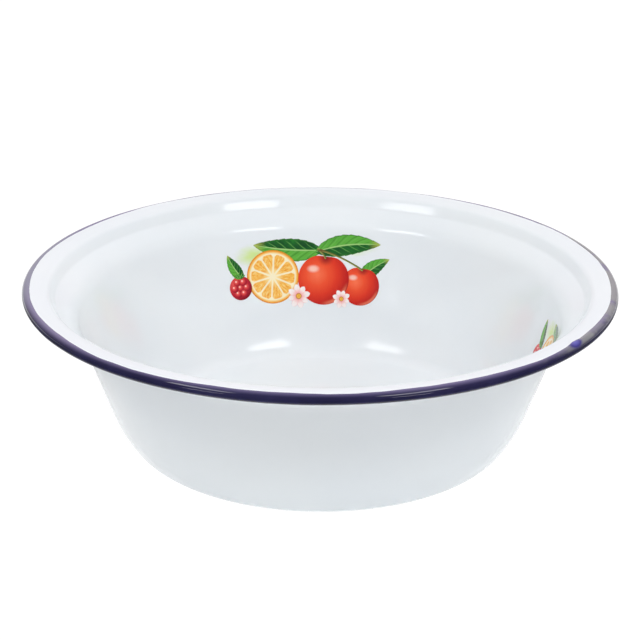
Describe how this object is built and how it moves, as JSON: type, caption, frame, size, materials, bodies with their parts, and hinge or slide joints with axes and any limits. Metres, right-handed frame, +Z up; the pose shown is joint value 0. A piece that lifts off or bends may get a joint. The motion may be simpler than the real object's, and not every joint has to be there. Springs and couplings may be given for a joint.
{
  "type": "enamel bowl",
  "caption": "Wide round enamelled steel bowl with a flat floor, sloping wall, stepped flange and a rolled navy rim, for mixing, washing or serving food.",
  "frame": {"origin": "centre of the flat underside that the bowl rests on", "axes": "+Z up along the bowl's axis of revolution, +Y towards the wall with the print that the picture shows in full"},
  "size_m": [0.2998, 0.2998, 0.0866],
  "materials": {
    "bare_steel": "pressed low-carbon sheet, hidden under enamel",
    "ground_coat": "dark fired glass grip coat, hidden",
    "white_enamel": "glossy white vitreous enamel",
    "navy_enamel": "glossy navy vitreous enamel",
    "fired_print": "glossy fired transfer in red, orange, green and pink"
  },
  "bodies": {
    "root": {"steel_shell": "bare_steel", "ground_coat_inside": "ground_coat", "ground_coat_outside": "ground_coat", "inside_enamel": "white_enamel", "outside_enamel": "white_enamel", "rim_enamel": "navy_enamel", "transfer_back": "fired_print", "transfer_left": "fired_print", "transfer_right": "fired_print"}
  },
  "joints": []
}
